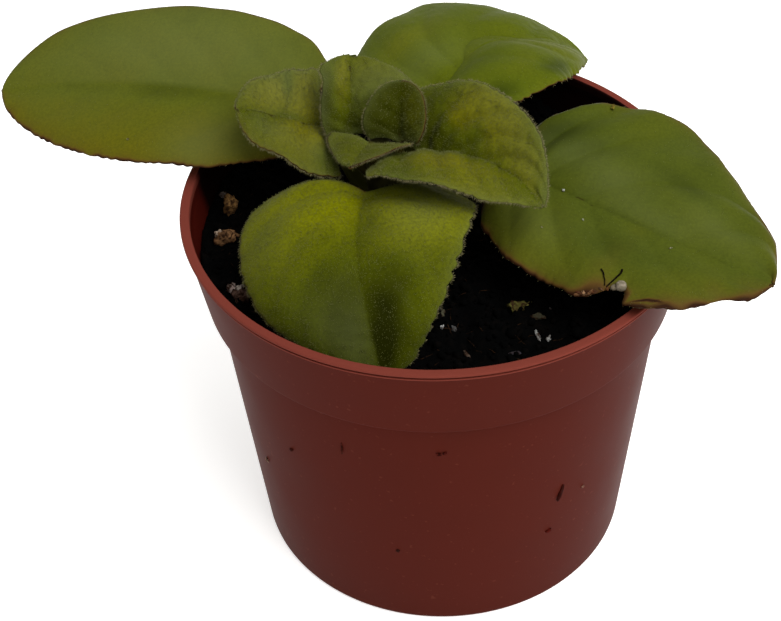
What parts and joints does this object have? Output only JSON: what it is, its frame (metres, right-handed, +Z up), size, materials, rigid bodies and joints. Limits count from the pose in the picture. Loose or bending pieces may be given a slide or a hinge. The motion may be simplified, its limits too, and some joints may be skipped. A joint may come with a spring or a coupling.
{
  "type": "potted primulina plant",
  "caption": "Low rosette of broad hairy leaves on a short stem, growing in soil in a round tapered nursery pot that stands on its base.",
  "frame": {"origin": "centre of the pot's underside, on the surface that the pot stands on", "axes": "+Z up along the pot's axis, +X towards the broad outer leaf on the right, -Y towards the viewer and the leaf that dips inside the rim"},
  "size_m": [0.1378, 0.0906, 0.0958],
  "materials": {
    "terracotta_plastic": "satin moulded polypropylene, brown red",
    "peat_soil": "damp crumbly peat, near black",
    "stem_flesh": "matt hairy plant stem",
    "old_leaf": "smooth fleshy leaf, olive green with a brown edge",
    "young_leaf": "soft leaf with short pale hairs, yellow green"
  },
  "bodies": {
    "root": {"pot": "terracotta_plastic", "soil": "peat_soil", "stem": "stem_flesh", "leaf_left_outer": "old_leaf", "leaf_right_outer": "old_leaf", "leaf_front": "young_leaf", "leaf_back": "old_leaf", "leaf_left_inner": "young_leaf", "leaf_right_inner": "young_leaf", "leaf_heart_back": "young_leaf", "leaf_bud": "young_leaf", "leaf_heart_front": "young_leaf"}
  },
  "joints": []
}
